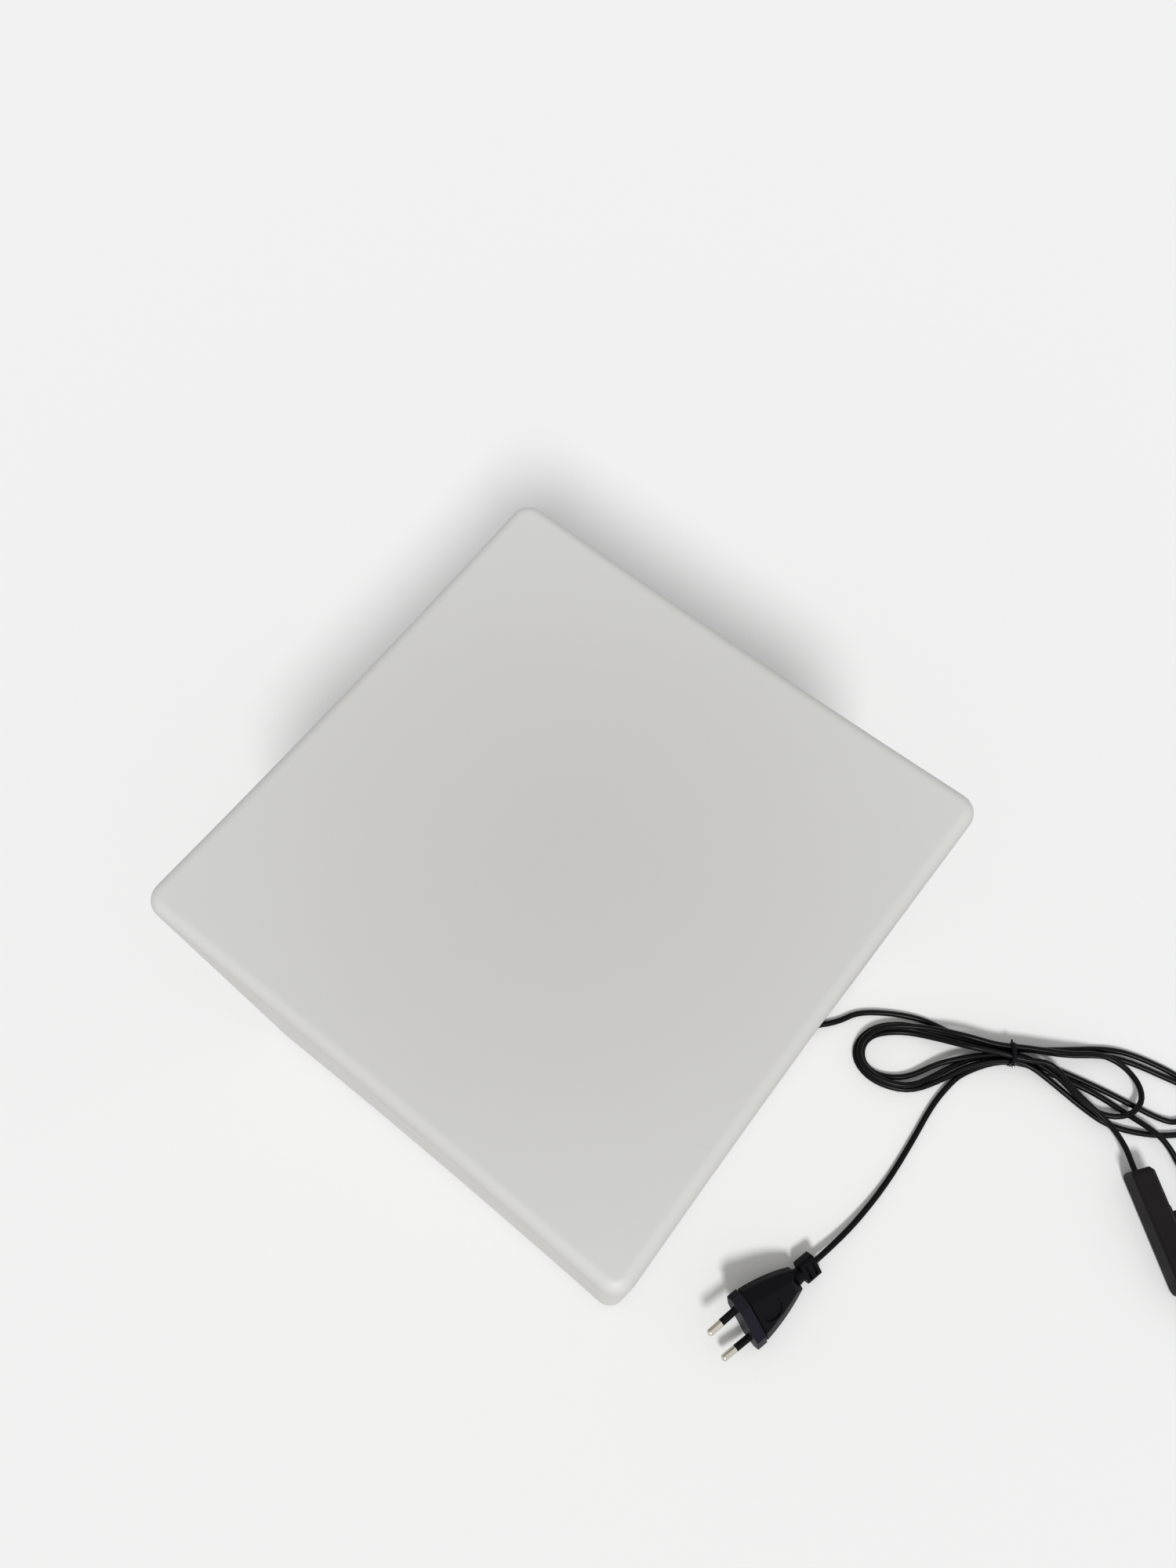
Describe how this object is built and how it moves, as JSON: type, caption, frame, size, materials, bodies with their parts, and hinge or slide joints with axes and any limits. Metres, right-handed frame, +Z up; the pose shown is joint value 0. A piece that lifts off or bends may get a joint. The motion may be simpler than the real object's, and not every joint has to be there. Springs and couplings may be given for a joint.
{
  "type": "led cube light",
  "caption": "Cube-shaped garden light with an opal hollow shell, a lamp holder on a base cover, and a tied cord with a rocker switch and a flat plug.",
  "frame": {"origin": "centre of the cube's flat underside", "axes": "+Z up, +X through the side that the cord leaves by, +Y so that the frame is right-handed"},
  "size_m": [0.5244, 0.3018, 0.25],
  "materials": {
    "shell": "satin opal",
    "cover": "satin",
    "gasket": "matte",
    "screws": "satin",
    "inserts": "satin",
    "gland": "satin",
    "inner_lead": "satin",
    "zinc": "satin",
    "holder": "satin",
    "ceramic_core": "matte",
    "contact": "bright",
    "insulator": "gloss",
    "bulb_cap": "bright",
    "bulb_skirt": "satin",
    "bulb_dome": "frosted",
    "led_board": "satin",
    "driver_board": "satin",
    "cord": "satin",
    "tie": "satin",
    "switch_case": "satin",
    "rocker": "satin",
    "plug_face": "satin",
    "plug_body": "satin",
    "pins": "bright nickel",
    "sleeves": "satin"
  },
  "bodies": {
    "cube": {"cube_shell": "shell", "base_cover": "cover", "base_gasket": "gasket", "base_cover_screws": "screws", "cover_inserts": "inserts", "gland_body": "gland", "gland_seal": "gasket", "gland_nut": "gland", "holder_lead": "inner_lead", "holder_nipple": "zinc", "holder_nipple_nuts": "zinc", "holder_cap": "holder", "holder_body": "holder", "holder_core": "ceramic_core", "holder_contact_shell": "contact", "holder_centre_contact": "contact", "holder_terminals": "inserts", "cord_lead": "cord", "cord_hank": "cord", "cord_switch_lead": "cord", "cord_plug_lead": "cord", "twist_tie": "tie", "switch_lower_shell": "switch_case", "switch_upper_shell": "switch_case", "switch_fixed_contacts": "inserts", "switch_terminals": "inserts", "switch_housing_screws": "screws", "plug_face_insert": "plug_face", "plug_body": "plug_body", "plug_pins": "pins", "plug_pin_sleeves": "sleeves"},
    "bulb": {"bulb_tip_contact": "zinc", "bulb_tip_insulator": "insulator", "bulb_screw_cap": "bulb_cap", "bulb_body": "bulb_skirt", "bulb_diffuser": "bulb_dome", "bulb_led_board": "led_board", "bulb_driver_board": "driver_board"},
    "rocker": {"switch_rocker": "rocker", "switch_moving_contact": "inserts"}
  },
  "joints": [
    {"name": "bulb_unscrew", "type": "slide", "parent": "cube", "child": "bulb", "axis": [0, 0, 1], "range_m": [0, 0.026]},
    {"name": "rocker_press", "type": "hinge", "parent": "cube", "child": "rocker", "pos_m": [0.33595, 0.09665, 0.00855], "axis": [0, 0, 1], "range_deg": [0, 20]}
  ]
}
